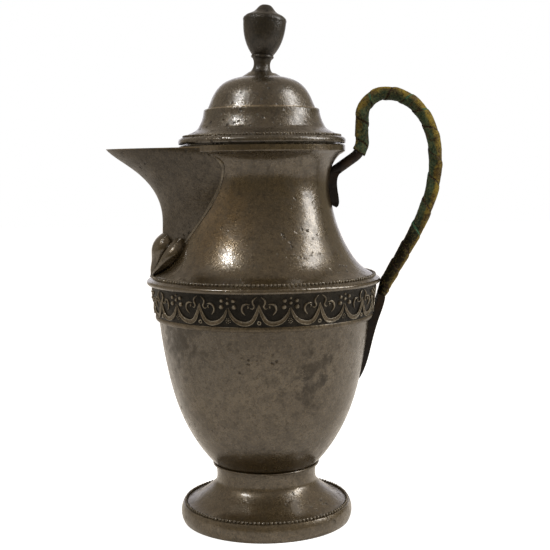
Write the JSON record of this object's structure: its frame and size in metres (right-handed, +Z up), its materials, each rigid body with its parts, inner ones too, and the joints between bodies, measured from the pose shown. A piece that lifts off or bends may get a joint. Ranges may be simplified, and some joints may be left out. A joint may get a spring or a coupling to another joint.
{
  "type": "chocolate pot",
  "caption": "Urn-shaped pewter pot on a round foot, with an open beak spout, a loose domed lid with an urn finial and a wound iron handle.",
  "frame": {"origin": "centre of the foot's resting circle, on the pot's turning axis", "axes": "+Z up along the axis, +X towards the handle, -X towards the spout"},
  "size_m": [0.1673, 0.1166, 0.2569],
  "materials": {
    "pewter_pot": "aged",
    "pewter_lid": "aged",
    "pewter_finial": "aged",
    "iron_bar": "rough",
    "wound_strip": "worn"
  },
  "bodies": {
    "pot": {"foot_casting": "pewter_pot", "foot_bead_ring": "pewter_pot", "stem_lip": "pewter_pot", "bowl_shell": "pewter_pot", "band_fillet": "pewter_pot", "frieze_band": "pewter_pot", "shoulder_flange": "pewter_pot", "shoulder_bead_ring": "pewter_pot", "neck_shell": "pewter_pot", "rim_ring": "pewter_pot", "spout_shell": "pewter_pot", "spout_bud": "pewter_pot", "handle_bar": "iron_bar", "handle_leaf": "iron_bar", "handle_tail": "iron_bar", "handle_wrap": "wound_strip"},
    "lid": {"lid_flange": "pewter_lid", "lid_bead_ring": "pewter_lid", "lid_sleeve": "pewter_lid", "lid_drum": "pewter_lid", "lid_dome": "pewter_lid", "finial_collar": "pewter_finial", "finial_stem": "pewter_finial", "finial_urn": "pewter_finial", "finial_cap": "pewter_finial"}
  },
  "joints": [
    {"name": "lid_lift", "type": "slide", "parent": "pot", "child": "lid", "axis": [0, 0, 1], "range_m": [0, 0.06]}
  ]
}
